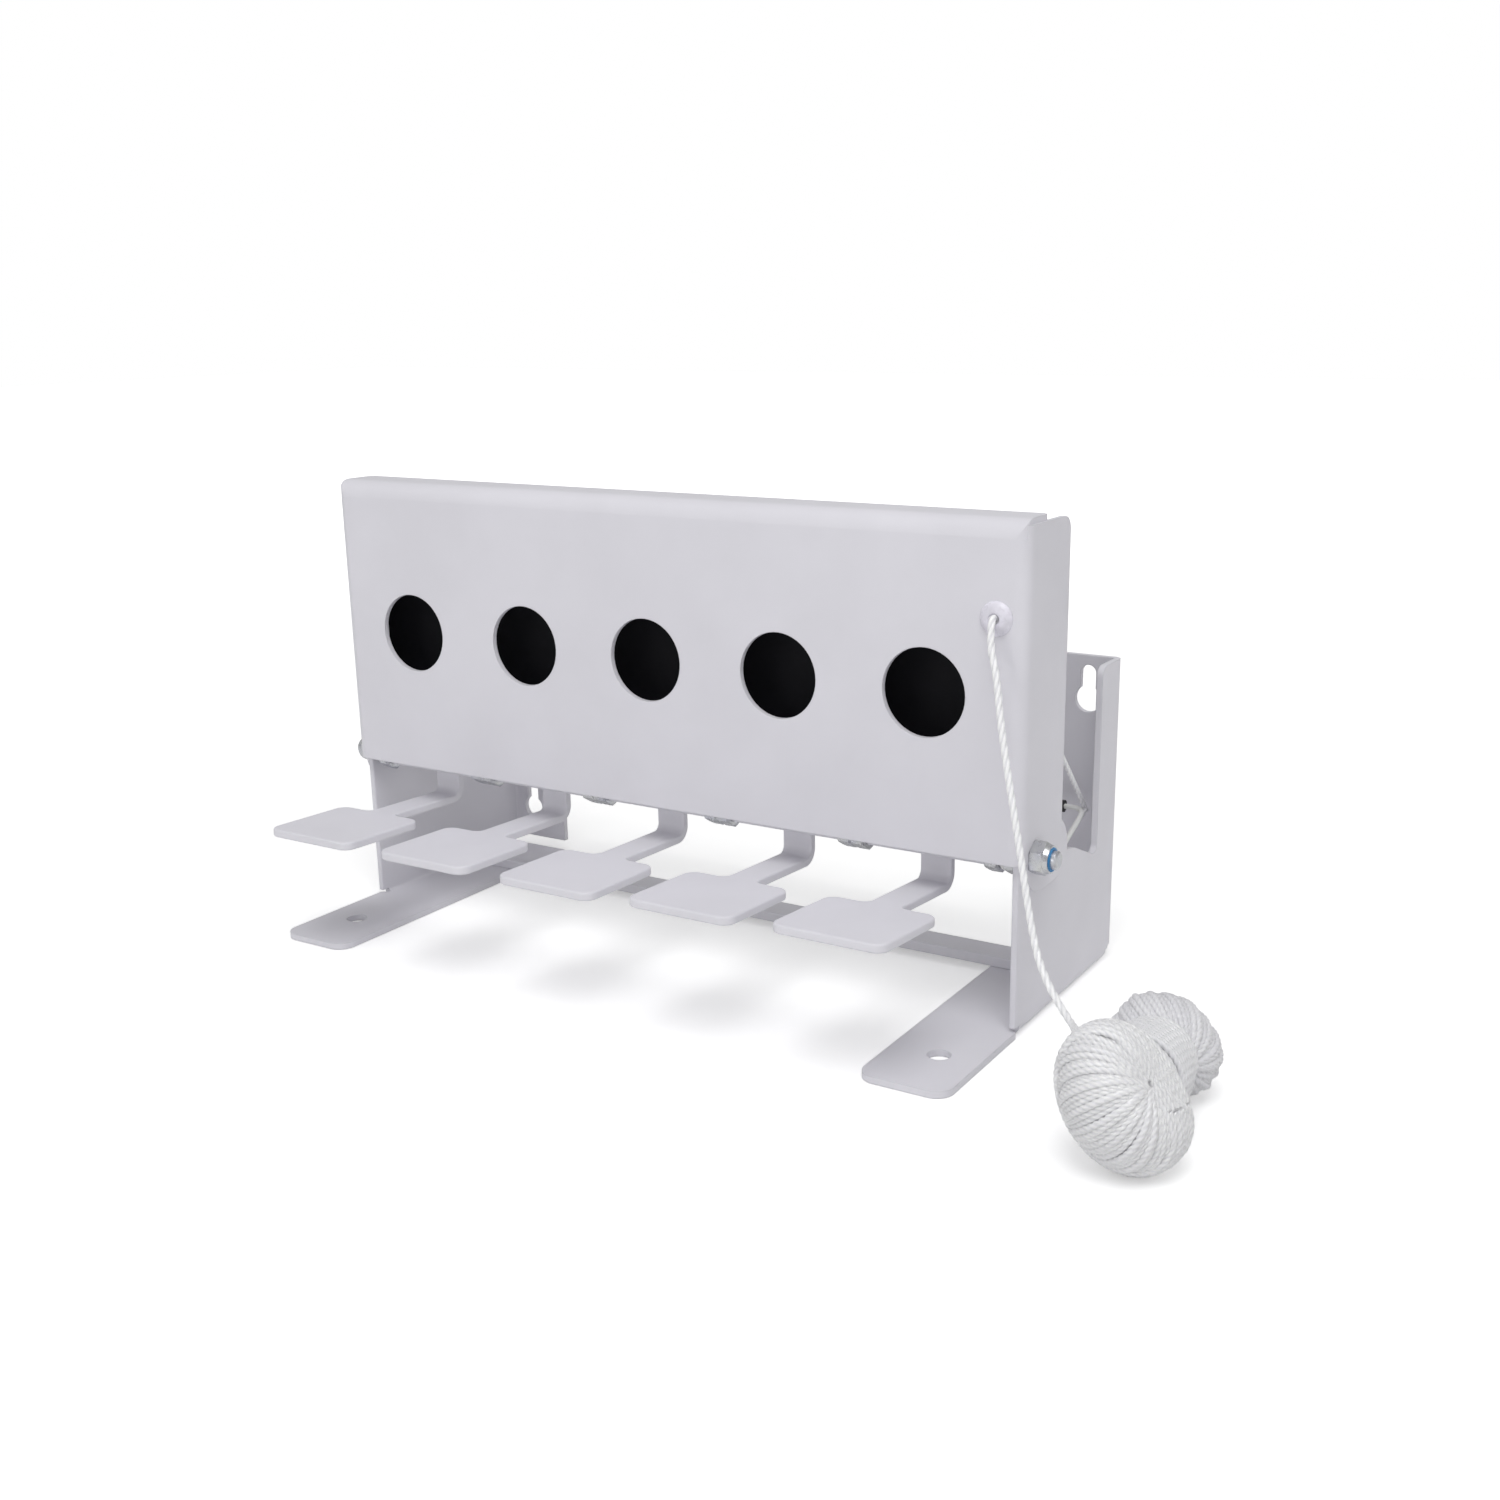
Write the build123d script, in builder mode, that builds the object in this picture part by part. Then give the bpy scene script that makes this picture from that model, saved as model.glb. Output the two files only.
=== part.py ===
from build123d import *
import os
from math import atan2, cos, radians, sin, tan

# Knock-down target box with a pull-cord reset, in millimetres.
# The origin is on the floor, midway between the screw holes of the two feet.
# +X is to the right when facing the holes, +Y is to the back, +Z is up.

os.makedirs("parts", exist_ok=True)

# ---------------------------------------------------------------- driving dimensions
width = 370.0  # over the hood's side flanges
hood_sheet = 2.5
bracket_sheet = 3.0
bend_radius = 6.0  # outside radius of the hood's upright bends
top_bend_radius = 8.0
fit_gap = 0.1  # between two pieces that lie side by side

face_y = 30.0  # the hood's front face, behind the line of the foot screw holes
hood_top = 219.5
panel_bottom = 78.0
top_flange_depth = 24.0
side_flange_depth = 43.0
side_flange_top = hood_top - hood_sheet
ear_radius = 16.0  # the rounded lobe of the side flange, under the hinge rod

lane_count = 5
lane_pitch = 70.0
aperture_diameter = 38.0
aperture_z = 146.6

rod_y = face_y + 14.3
rod_z = 79.0
rod_diameter = 10.0
rod_end_diameter = 8.0
rod_end_proud = 3.0

lever_shift = -3.3  # the levers stand a little to the left of their apertures
hub_length = 56.6
hub_diameter = 13.0
running_gap = 0.08  # radial, hub bore on hinge rod
strip_thickness = 4.0
strip_width = 15.0
strip_offset = 6.0  # from the rod's axis back to the strip, welded to a flat on the hub
paddle_width = 51.5
paddle_depth = 49.0
paddle_tilts = (2.0, 1.8, 1.8, 3.0, 4.0)  # degrees up towards the front, from hand bending
paddle_near = 42.0  # from the rod's axis forward to the paddle
paddle_top_z = 59.8  # right under the rod
plate_bottom_z = 120.3
plate_height = 52.7
plate_width = 66.0  # closes its aperture for an oblique view too
plate_corner = 6.0
edge_round = 0.9

bracket_outer = width / 2 - hood_sheet - fit_gap
bracket_inner = bracket_outer - bracket_sheet
bracket_front_y = face_y + 4.5
bracket_rear_y = face_y + 118.0
rear_post_y = face_y + 93.0
rear_post_top = 144.0
flange_inner_x = 145.5
flange_bottom_z = 6.3
foot_inner_x = 142.0
foot_front_y = face_y - 62.0
foot_hole_x = 164.0
foot_hole_diameter = 10.0

keyhole_x = 167.0
keyhole_low_z = 23.5
keyhole_pitch = 100.0
keyhole_radius = 6.3
keyslot_radius = 3.7
keyslot_rise = 12.3  # from the round hole's centre up to the slot end's centre

wire_diameter = 2.4
bail_y = face_y + 101.0
bail_z = 75.0
bail_rise = radians(22.5)  # slope of the bail's arms just before the crossbar
sleeve_diameter = 5.6

grommet_x = 172.0
grommet_z = 180.0
cord_diameter = 3.0

lane_x = [lane_pitch * (lane - (lane_count - 1) / 2) for lane in range(lane_count)]
lever_x = [x + lever_shift for x in lane_x]


def save(builder, label):
    """Label a finished piece and write its STEP file."""
    builder.part.label = label
    export_step(builder.part, f"parts/{label}.step")


def corner(sketch, u, v):
    """The vertex of a sketch that is nearest to a point of its plane."""
    return sketch.vertices().sort_by_distance((u, v, 0))[0]


# ---------------------------------------------------------------- hood
def make_lip(panel_top):
    """Top flange with its bend, which reaches half over the side flanges."""
    lip_half = (width - hood_sheet) / 2
    front_corner = 4.5
    rear_corner = 4.0
    inner = (face_y + hood_sheet, hood_top - hood_sheet)
    with BuildPart() as lip:
        # seen from the side
        with BuildSketch(Plane.YZ.offset(-lip_half)) as profile:
            with BuildLine():
                Polyline(
                    (face_y, panel_top),
                    (face_y, hood_top),
                    (face_y + top_flange_depth, hood_top),
                    (face_y + top_flange_depth, hood_top - hood_sheet),
                    inner,
                    (face_y + hood_sheet, panel_top),
                    close=True,
                )
            make_face()
            fillet(corner(profile, face_y, hood_top), top_bend_radius)
            fillet(corner(profile, *inner), top_bend_radius - hood_sheet)
        extrude(amount=2 * lip_half)
        # seen from above
        with BuildSketch(Plane.XY.offset(panel_top)) as plan:
            with Locations((0, face_y + top_flange_depth / 2)):
                Rectangle(2 * lip_half, top_flange_depth)
            fillet(plan.vertices().group_by(Axis.Y)[0], front_corner)
            fillet(plan.vertices().group_by(Axis.Y)[-1], rear_corner)
        extrude(amount=top_bend_radius, mode=Mode.INTERSECT)
    return lip.part


def make_hood():
    """Folded sheet: front panel, top flange and two side flanges, open behind and below."""
    back_y = face_y + side_flange_depth
    panel_top = hood_top - top_bend_radius
    flange_corner = 6.0
    ear_y = face_y + bend_radius + ear_radius
    ear_bottom = panel_bottom - ear_radius
    cord_hole = 9.4
    with BuildPart() as hood:
        # front panel and side flanges, seen from above
        with BuildSketch(Plane.XY.offset(ear_bottom)) as channel:
            with BuildLine():
                Polyline(
                    (-width / 2, back_y),
                    (-width / 2, face_y),
                    (width / 2, face_y),
                    (width / 2, back_y),
                    (width / 2 - hood_sheet, back_y),
                    (width / 2 - hood_sheet, face_y + hood_sheet),
                    (-width / 2 + hood_sheet, face_y + hood_sheet),
                    (-width / 2 + hood_sheet, back_y),
                    close=True,
                )
            make_face()
            for side in (-1, 1):
                fillet(corner(channel, side * width / 2, face_y), bend_radius)
                inner_x = side * (width / 2 - hood_sheet)
                fillet(corner(channel, inner_x, face_y + hood_sheet), bend_radius - hood_sheet)
        extrude(amount=side_flange_top - ear_bottom)
        # the panel itself ends where the top bend starts
        with BuildSketch(Plane.XY.offset(panel_top)):
            with Locations((0, face_y + hood_sheet / 2)):
                Rectangle(width, hood_sheet)
        extrude(amount=top_bend_radius, mode=Mode.SUBTRACT)
        add(make_lip(panel_top))
        # the front panel stops above the rod's ears
        with BuildSketch(Plane.YZ.offset(-width / 2)):
            with BuildLine():
                Polyline(
                    (ear_y, ear_bottom),
                    (face_y, ear_bottom),
                    (face_y, panel_bottom),
                    (face_y + bend_radius, panel_bottom),
                )
                RadiusArc((face_y + bend_radius, panel_bottom), (ear_y, ear_bottom), -ear_radius)
            make_face()
        extrude(amount=width, mode=Mode.SUBTRACT)
        # rounded rear corners of the side flanges
        along_x = hood.edges().filter_by(Axis.X)
        flange_corners = along_x.filter_by_position(Axis.Y, back_y - 1, back_y + 1)
        fillet(flange_corners, flange_corner)
        # five apertures in the front panel
        with BuildSketch(Plane.XZ.offset(-face_y)):
            with Locations(*[(x, aperture_z) for x in lane_x]):
                Circle(aperture_diameter / 2)
            with Locations((grommet_x, grommet_z)):
                Circle(cord_hole / 2)
        extrude(amount=-hood_sheet * 2, mode=Mode.SUBTRACT)
        # holes for the rod's ends
        with BuildSketch(Plane.YZ.offset(-width / 2)):
            with Locations((rod_y, rod_z)):
                Circle(rod_end_diameter / 2)
        extrude(amount=width, mode=Mode.SUBTRACT)
    save(hood, "hood")


# ---------------------------------------------------------------- side brackets
def make_brackets():
    """Folded side bracket: side plate, foot turned inwards, rear flange with two keyholes."""
    bend_inside = 1.5
    bend = bracket_sheet + bend_inside
    relief_z = 4.7
    relief_y = bracket_front_y + bend
    ear_top = rod_z + 9.0
    ear_back_y = face_y + 57.5
    hump_z = 69.6
    hump_end = (ear_back_y + 8.0, hump_z - 1.5)
    notch_z = 58.5
    notch_y = rear_post_y - 5.0
    notch_round = 3.0
    ear_front_round = 7.0
    ear_back_round = 16.0
    hump_round = 14.0
    post_corner = 5.0
    heel_overlap = 10.0
    foot_rear_y = bracket_rear_y - 8.0
    foot_corner = 8.0
    with BuildPart() as bracket:
        # rear flange and rear strip of the side plate, seen from above
        with BuildSketch(Plane.XY.offset(flange_bottom_z)) as rear_angle:
            with BuildLine():
                Polyline(
                    (bracket_outer, rear_post_y),
                    (bracket_outer, bracket_rear_y),
                    (flange_inner_x, bracket_rear_y),
                    (flange_inner_x, bracket_rear_y - bracket_sheet),
                    (bracket_inner, bracket_rear_y - bracket_sheet),
                    (bracket_inner, rear_post_y),
                    close=True,
                )
            make_face()
            fillet(corner(rear_angle, bracket_outer, bracket_rear_y), bend)
            inner_point = (bracket_inner, bracket_rear_y - bracket_sheet)
            fillet(corner(rear_angle, *inner_point), bend_inside)
        extrude(amount=rear_post_top - flange_bottom_z)
        # top front corner of the rear strip
        post_edges = bracket.edges().filter_by(Axis.X).group_by(Axis.Z)[-1]
        fillet(post_edges.sort_by(Axis.Y)[0], post_corner)
        # side plate up to the rod's ear, seen from the side
        with BuildSketch(Plane.YZ.offset(bracket_inner)) as side:
            with BuildLine():
                Polyline(
                    (rear_post_y + bracket_sheet, relief_z),
                    (bracket_front_y, relief_z),
                    (bracket_front_y, ear_top),
                    (ear_back_y, ear_top),
                    (ear_back_y, hump_z),
                    hump_end,
                    (notch_y, notch_z),
                    (rear_post_y + bracket_sheet, notch_z),
                    close=True,
                )
            make_face()
            fillet(corner(side, bracket_front_y, ear_top), ear_front_round)
            fillet(corner(side, ear_back_y, ear_top), ear_back_round)
            fillet(corner(side, *hump_end), hump_round)
        extrude(amount=bracket_sheet)
        # rounded front edges
        front_edges = bracket.edges().filter_by(Axis.Z).group_by(Axis.Y)[0]
        fillet(front_edges, edge_round)
        # small fillet where the side plate meets the rear strip
        notch = bracket.edges().filter_by(Axis.X).filter_by_position(
            Axis.Y, rear_post_y - 0.1, rear_post_y + 0.1
        )
        fillet(notch.sort_by(Axis.Z)[0:1], notch_round)
        # the bottom stretch of the side plate up to its chamfered rear corner
        with BuildSketch(Plane.YZ.offset(bracket_inner)):
            with BuildLine():
                Polyline(
                    (rear_post_y, relief_z),
                    (foot_rear_y + 2.0, relief_z),
                    (bracket_rear_y - bend, flange_bottom_z + bend_inside),
                    (bracket_rear_y - bend, flange_bottom_z + heel_overlap),
                    (rear_post_y, flange_bottom_z + heel_overlap),
                    close=True,
                )
            make_face()
        extrude(amount=bracket_sheet)
        # foot and its bend, seen from the front
        with BuildSketch(Plane.XZ.offset(-relief_y)) as foot_angle:
            with BuildLine():
                Polyline(
                    (foot_inner_x, 0),
                    (bracket_outer, 0),
                    (bracket_outer, relief_z + 1),
                    (bracket_inner, relief_z + 1),
                    (bracket_inner, bracket_sheet),
                    (foot_inner_x, bracket_sheet),
                    close=True,
                )
            make_face()
            fillet(corner(foot_angle, bracket_outer, 0), bend)
            fillet(corner(foot_angle, bracket_inner, bracket_sheet), bend_inside)
        extrude(amount=-(foot_rear_y - relief_y))
        # the foot's tongue, which reaches forward under the paddles
        with BuildSketch() as tongue:
            with BuildLine():
                Polyline(
                    (foot_inner_x, foot_front_y),
                    (bracket_outer, foot_front_y),
                    (bracket_outer, bracket_front_y + 1.0),
                    (bracket_outer - bend, relief_y),
                    (foot_inner_x, relief_y),
                    close=True,
                )
            make_face()
            fillet(tongue.vertices().group_by(Axis.Y)[0], foot_corner)
            with Locations((foot_hole_x, 0)):
                Circle(foot_hole_diameter / 2, mode=Mode.SUBTRACT)
        extrude(amount=bracket_sheet)
        # keyholes for hanging on a wall
        with BuildSketch(Plane.XZ.offset(-(bracket_rear_y - 2 * bracket_sheet))):
            for z in (keyhole_low_z, keyhole_low_z + keyhole_pitch):
                with Locations((keyhole_x, z)):
                    Circle(keyhole_radius)
                with Locations((keyhole_x, z + keyslot_rise)):
                    Circle(keyslot_radius)
                with Locations((keyhole_x, z + keyslot_rise / 2)):
                    Rectangle(2 * keyslot_radius, keyslot_rise)
        extrude(amount=-3 * bracket_sheet, mode=Mode.SUBTRACT)
        # hole for the rod's end
        with BuildSketch(Plane.YZ.offset(bracket_inner - 1)):
            with Locations((rod_y, rod_z)):
                Circle(rod_end_diameter / 2)
        extrude(amount=bracket_sheet + 2, mode=Mode.SUBTRACT)
    save(bracket, "right_bracket")
    with BuildPart() as left_bracket:
        add(mirror(bracket.part, about=Plane.YZ))
    save(left_bracket, "left_bracket")


# ---------------------------------------------------------------- bars
def make_bars():
    """Rear tie bar on the feet, and the stop bar that the raised levers lean on."""
    tie_width = 16.0
    tie_thickness = 5.0
    tie_y = face_y + 76.0
    tie_clearance = 2.0  # past the inside of the foot's bend
    with BuildPart() as cross_bar:
        with BuildSketch(Plane.XY.offset(bracket_sheet)):
            with Locations((0, tie_y)):
                Rectangle(2 * (bracket_inner - tie_clearance), tie_width)
        extrude(amount=tie_thickness)
        fillet(cross_bar.edges().filter_by(Axis.X), edge_round / 2)
    save(cross_bar, "cross_bar")

    stop_thickness = 3.0
    stop_height = 12.0
    stop_z = 106.0  # clear of the raised bail's arms
    with BuildPart() as stop_bar:
        with BuildSketch(Plane.YZ.offset(-width / 2 + hood_sheet)):
            with Locations((rod_y + strip_offset - fit_gap - stop_thickness / 2, stop_z)):
                Rectangle(stop_thickness, stop_height)
        extrude(amount=width - 2 * hood_sheet)
    save(stop_bar, "stop_bar")


# ---------------------------------------------------------------- hinge rod and its nuts
jam_nut = 6.4  # thickness of the nuts between the levers
thin_nut = 5.0  # thickness of the nuts at the rod's ends
side_gap = 0.2  # between a lever's hub and the nut beside it
lock_nut = 8.0


def make_rod():
    """Hinge rod with a shoulder inside each bracket and threaded ends."""
    shoulder_x = bracket_inner
    end_x = width / 2 + lock_nut + rod_end_proud
    tip_chamfer = 0.8
    with BuildPart() as hinge_rod:
        with BuildSketch(Plane.YZ.offset(-shoulder_x)):
            with Locations((rod_y, rod_z)):
                Circle(rod_diameter / 2)
        extrude(amount=2 * shoulder_x)
        with BuildSketch(Plane.YZ.offset(-end_x)):
            with Locations((rod_y, rod_z)):
                Circle(rod_end_diameter / 2)
        extrude(amount=2 * end_x)
        tips = hinge_rod.edges().filter_by(GeomType.CIRCLE).sort_by(Axis.X)
        chamfer([tips[0], tips[-1]], tip_chamfer)
    save(hinge_rod, "hinge_rod")


def hex_nut(start_x, thickness, across_flats, bore):
    """Hexagon nut on the rod, from start_x towards +X, with its corners turned down."""
    corner_radius = across_flats / 2 / cos(radians(30))
    crown = (corner_radius - across_flats / 2) * sin(radians(30)) / cos(radians(30))
    outside = rod_y + across_flats
    with BuildPart() as nut:
        with BuildSketch(Plane.YZ.offset(start_x)):
            with Locations((rod_y, rod_z)):
                RegularPolygon(corner_radius, 6, rotation=30)
                Circle(bore / 2, mode=Mode.SUBTRACT)
        extrude(amount=thickness)
        with BuildSketch(Plane.XY.offset(rod_z)):
            for x, inward in ((start_x, 1), (start_x + thickness, -1)):
                with BuildLine():
                    Polyline(
                        (x, rod_y + across_flats / 2),
                        (x, outside),
                        (x + inward * crown, outside),
                        (x + inward * crown, rod_y + corner_radius),
                        close=True,
                    )
                make_face()
        revolve(axis=Axis((0, rod_y, rod_z), (1, 0, 0)), mode=Mode.SUBTRACT)
    return nut.part


def make_spacer_nuts():
    """Nuts on the rod that hold the levers apart, in pairs, with single ones at the ends."""
    nut_flats = 16.0
    hub_right = lever_x[-1] + hub_length / 2
    hub_left = lever_x[0] - hub_length / 2
    places = []
    for x in lever_x[:-1]:
        places.append((x + hub_length / 2 + side_gap, jam_nut))
        places.append((x + lane_pitch - hub_length / 2 - side_gap - jam_nut, jam_nut))
    places.append((hub_right + side_gap, jam_nut))
    places.append((bracket_inner - fit_gap - thin_nut, thin_nut))
    places.append((hub_left - side_gap - thin_nut, thin_nut))
    nuts = [hex_nut(start_x, thickness, nut_flats, rod_diameter) for start_x, thickness in places]
    with BuildPart() as spacer_nuts:
        add(nuts)
    save(spacer_nuts, "spacer_nuts")


def make_lock_nuts():
    """Locking nut on each end of the rod, with its nylon ring in a turned collar."""
    nut_flats = 13.0
    hex_height = 5.8
    ring_radius = 5.1
    collar_radius = 5.9
    ring_start = 6.2
    ring_proud = 0.5
    ring_round = 0.4
    collar_start = hex_height - 1.0  # the collar's turning runs a little into the hexagon
    collar_base = nut_flats / 2 - 0.1
    face_x = width / 2
    hexagon = hex_nut(face_x, hex_height, nut_flats, rod_end_diameter)
    with BuildPart() as right_nut:
        add(hexagon)
        with BuildSketch(Plane.XY.offset(rod_z)):
            with BuildLine():
                Polyline(
                    (face_x + collar_start, rod_y + rod_end_diameter / 2),
                    (face_x + collar_start, rod_y + collar_base),
                    (face_x + hex_height, rod_y + collar_base),
                    (face_x + lock_nut, rod_y + collar_radius),
                    (face_x + lock_nut, rod_y + ring_radius),
                    (face_x + ring_start, rod_y + ring_radius),
                    (face_x + ring_start, rod_y + rod_end_diameter / 2),
                    close=True,
                )
            make_face()
        revolve(axis=Axis((0, rod_y, rod_z), (1, 0, 0)))
    save(right_nut, "right_lock_nut")
    with BuildPart() as right_ring:
        with BuildSketch(Plane.YZ.offset(face_x + ring_start)):
            with Locations((rod_y, rod_z)):
                Circle(ring_radius)
                Circle(rod_end_diameter / 2, mode=Mode.SUBTRACT)
        extrude(amount=lock_nut - ring_start + ring_proud)
        outer_edges = right_ring.edges().filter_by(GeomType.CIRCLE).group_by(Axis.X)[-1]
        fillet(outer_edges.sort_by(SortBy.RADIUS)[-1], ring_round)
    save(right_ring, "right_nut_ring")
    with BuildPart() as left_nut:
        add(mirror(right_nut.part, about=Plane.YZ))
    save(left_nut, "left_lock_nut")
    with BuildPart() as left_ring:
        add(mirror(right_ring.part, about=Plane.YZ))
    save(left_ring, "left_nut_ring")


# ---------------------------------------------------------------- levers
def make_lever(number, x, tilt):
    """One lever: hub tube on the rod, bent strip with the white paddle, and the black plate."""
    front = rod_y + strip_offset
    back = front + strip_thickness
    paddle_back = rod_y - paddle_near
    lap_bottom = plate_bottom_z - strip_width
    neck = 6.0
    neck_round = 4.0
    bend_inside = 3.5
    with BuildPart() as hub:
        with BuildSketch(Plane.YZ.offset(x - hub_length / 2)):
            with Locations((rod_y, rod_z)):
                Circle(hub_diameter / 2)
                Circle(rod_diameter / 2 + running_gap, mode=Mode.SUBTRACT)
            with Locations((front + hub_diameter / 2, rod_z)):
                Rectangle(hub_diameter, 2 * hub_diameter, mode=Mode.SUBTRACT)
        extrude(amount=hub_length)
    save(hub, f"hub_{number}")

    # the paddle's top, whose local +Y points back and a little down
    rise = Vector(0, sin(tilt), cos(tilt))
    top = Plane(origin=(x, rod_y, paddle_top_z), x_dir=(1, 0, 0), z_dir=rise)
    tip_y = rod_y - (paddle_near + neck) * cos(tilt)
    tip_z = paddle_top_z + (paddle_near + neck) * sin(tilt)
    bend_top_z = paddle_top_z - strip_offset * tan(tilt)
    bend_low_z = bend_top_z - strip_thickness / cos(tilt) - strip_thickness * tan(tilt)
    with BuildPart() as paddle:
        # bent strip, seen from the side
        with BuildSketch(Plane.YZ.offset(x - strip_width / 2)) as strip:
            with BuildLine():
                Polyline(
                    (tip_y, tip_z),
                    (front, bend_top_z),
                    (front, lap_bottom),
                    (back, lap_bottom),
                    (back, bend_low_z),
                    (tip_y - strip_thickness * sin(tilt), tip_z - strip_thickness * cos(tilt)),
                    close=True,
                )
            make_face()
            fillet(corner(strip, front, bend_top_z), bend_inside)
            fillet(corner(strip, back, bend_low_z), bend_inside + strip_thickness)
        extrude(amount=strip_width)
        # square paddle at the front end
        with BuildSketch(top):
            with Locations((0, -paddle_near - paddle_depth / 2)):
                RectangleRounded(paddle_width, paddle_depth, plate_corner)
        extrude(amount=-strip_thickness)
        # the strip runs into the paddle in a small curve on each side
        near_neck = (paddle_back - hood_sheet, paddle_back + hood_sheet)
        across = paddle.edges().filter_by(Axis((0, 0, 0), rise))
        inner = across.filter_by_position(Axis.Y, *near_neck)
        fillet(inner.filter_by_position(Axis.X, x - strip_width, x + strip_width), neck_round)
        rims = paddle.faces().filter_by(top)
        rim_edges = [edge for rim in rims for edge in rim.edges()]
        fillet([edge for edge in rim_edges if edge.center().Y < near_neck[1]], edge_round)
    save(paddle, f"paddle_{number}")

    with BuildPart() as plate:
        with BuildSketch(Plane.XZ.offset(-front)):
            with Locations((x, plate_bottom_z + plate_height / 2)):
                RectangleRounded(plate_width, plate_height, plate_corner)
            with Locations((x, (lap_bottom + plate_bottom_z + neck) / 2)):
                Rectangle(strip_width, plate_bottom_z + neck - lap_bottom)
        extrude(amount=-strip_thickness)
    save(plate, f"target_plate_{number}")


# ---------------------------------------------------------------- reset bail
def make_bail():
    """Wire bail: an eye on the rod at each end, two cranked arms and a crossbar behind the plates."""
    eye_gap = 0.1
    eye_radius = rod_diameter / 2 + eye_gap + wire_diameter / 2
    straight = 30.0  # the sloping stretch of each arm before the crossbar
    elbow_radius = 10.0
    corner_radius = 5.0
    right_x = lever_x[-1] + hub_length / 2 + side_gap + jam_nut + fit_gap + wire_diameter / 2
    left_x = -bracket_inner + fit_gap + wire_diameter / 2
    slope_y = cos(bail_rise)
    slope_z = sin(bail_rise)
    elbow = (bail_y - straight * slope_y, bail_z - straight * slope_z)
    middle = (bail_y - straight / 2 * slope_y, bail_z - straight / 2 * slope_z)
    droop = atan2(rod_z - elbow[1], elbow[0] - rod_y)
    eye_point = (rod_y + eye_radius * cos(droop), rod_z - eye_radius * sin(droop))
    with BuildPart() as bail:
        # crossbar and the two corners, in the arms' sloping plane
        sloping = Plane(origin=(0, bail_y, bail_z), x_dir=(1, 0, 0), z_dir=(0, -slope_z, slope_y))
        with BuildLine(sloping):
            FilletPolyline(
                (right_x, -straight / 2),
                (right_x, 0),
                (left_x, 0),
                (left_x, -straight / 2),
                radius=corner_radius,
            )
        with BuildSketch(Plane(origin=(right_x, *middle), z_dir=(0, slope_y, slope_z))):
            Circle(wire_diameter / 2)
        sweep()
        for arm_x in (left_x, right_x):
            with BuildLine(Plane.YZ.offset(arm_x)) as arm:
                FilletPolyline(middle, elbow, eye_point, radius=elbow_radius)
            with BuildSketch(Plane(origin=(arm_x, *middle), z_dir=(0, -slope_y, -slope_z))):
                Circle(wire_diameter / 2)
            sweep(path=arm.line)
            with BuildSketch(Plane.XZ.offset(-rod_y)):
                with Locations((arm_x, rod_z + eye_radius)):
                    Circle(wire_diameter / 2)
            revolve(axis=Axis((0, rod_y, rod_z), (1, 0, 0)))
    save(bail, "reset_bail")

    sleeve_left = lever_x[0] - plate_height / 2
    sleeve_right = lever_x[-1] + plate_height / 2
    with BuildPart() as bail_sleeve:
        with BuildSketch(Plane.YZ.offset(sleeve_left)):
            with Locations((bail_y, bail_z)):
                Circle(sleeve_diameter / 2)
                Circle(wire_diameter / 2, mode=Mode.SUBTRACT)
        extrude(amount=sleeve_right - sleeve_left)
    save(bail_sleeve, "bail_sleeve")


# ---------------------------------------------------------------- cord
def make_grommet():
    """Plastic grommet in the front panel that the cord runs through."""
    dome_radius = 7.2
    dome_height = 2.6
    stem_radius = 4.6
    bore_radius = 2.0
    clip_radius = 5.6
    clip_length = 1.6
    bore_round = 0.6
    front_y = face_y - dome_height
    back_y = face_y + hood_sheet
    with BuildPart() as grommet:
        with BuildSketch(Plane.XY.offset(grommet_z)):
            with BuildLine():
                Polyline(
                    (grommet_x + dome_radius, face_y),
                    (grommet_x + stem_radius, face_y),
                    (grommet_x + stem_radius, back_y),
                    (grommet_x + clip_radius, back_y),
                    (grommet_x + clip_radius, back_y + clip_length),
                    (grommet_x + bore_radius, back_y + clip_length),
                    (grommet_x + bore_radius, front_y + bore_round),
                    (grommet_x + bore_radius + bore_round, front_y),
                )
                ThreePointArc(
                    (grommet_x + bore_radius + bore_round, front_y),
                    (grommet_x + dome_radius * 0.72, face_y - dome_height * 0.78),
                    (grommet_x + dome_radius, face_y),
                )
            make_face()
        revolve(axis=Axis((grommet_x, face_y, grommet_z), (0, 1, 0)))
    save(grommet, "cord_grommet")


hank_x = 258.0
hank_front = (hank_x, face_y - 76.0, 29.5)
hank_back = (hank_x, face_y - 17.0, 25.0)


def make_cord():
    """Free cord from the grommet to the hank on the floor, and the cord inside the hood."""
    inner_cord_diameter = 0.75 * cord_diameter  # pulled tight over the bail
    outlet = (grommet_x, face_y - 4.0, grommet_z)
    hanging = [
        (grommet_x + 1.4, face_y - 7.4, 170.0),
        (grommet_x + 5.4, face_y - 10.6, 158.0),
        (grommet_x + 11.0, face_y - 16.0, 136.0),
        (grommet_x + 22.2, face_y - 25.6, 101.4),
        (grommet_x + 34.7, face_y - 36.5, 65.0),
        (grommet_x + 44.5, face_y - 45.2, 51.5),
        (grommet_x + 59.5, face_y - 58.0, 43.0),
    ]
    with BuildPart() as pull_cord:
        with BuildLine() as path:
            Line((grommet_x, face_y + 0.5, grommet_z), outlet)
            Spline(outlet, *hanging, tangents=((0, -1, 0), (0.72, -0.62, -0.3)))
        with BuildSketch(Plane(origin=path.line @ 0, z_dir=path.line % 0)):
            Circle(cord_diameter / 2)
        sweep()
    save(pull_cord, "pull_cord")

    # straight from the grommet's back down to the bail's right-hand corner
    start = Vector(grommet_x, face_y + 6.5, grommet_z - 4.0)
    end = Vector(grommet_x - 0.5, bail_y - 3.5, bail_z + 4.5)
    with BuildPart() as inner_cord:
        with BuildSketch(Plane(origin=start, z_dir=end - start)):
            Circle(inner_cord_diameter / 2)
        extrude(amount=(end - start).length)
    save(inner_cord, "inner_cord")


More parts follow.
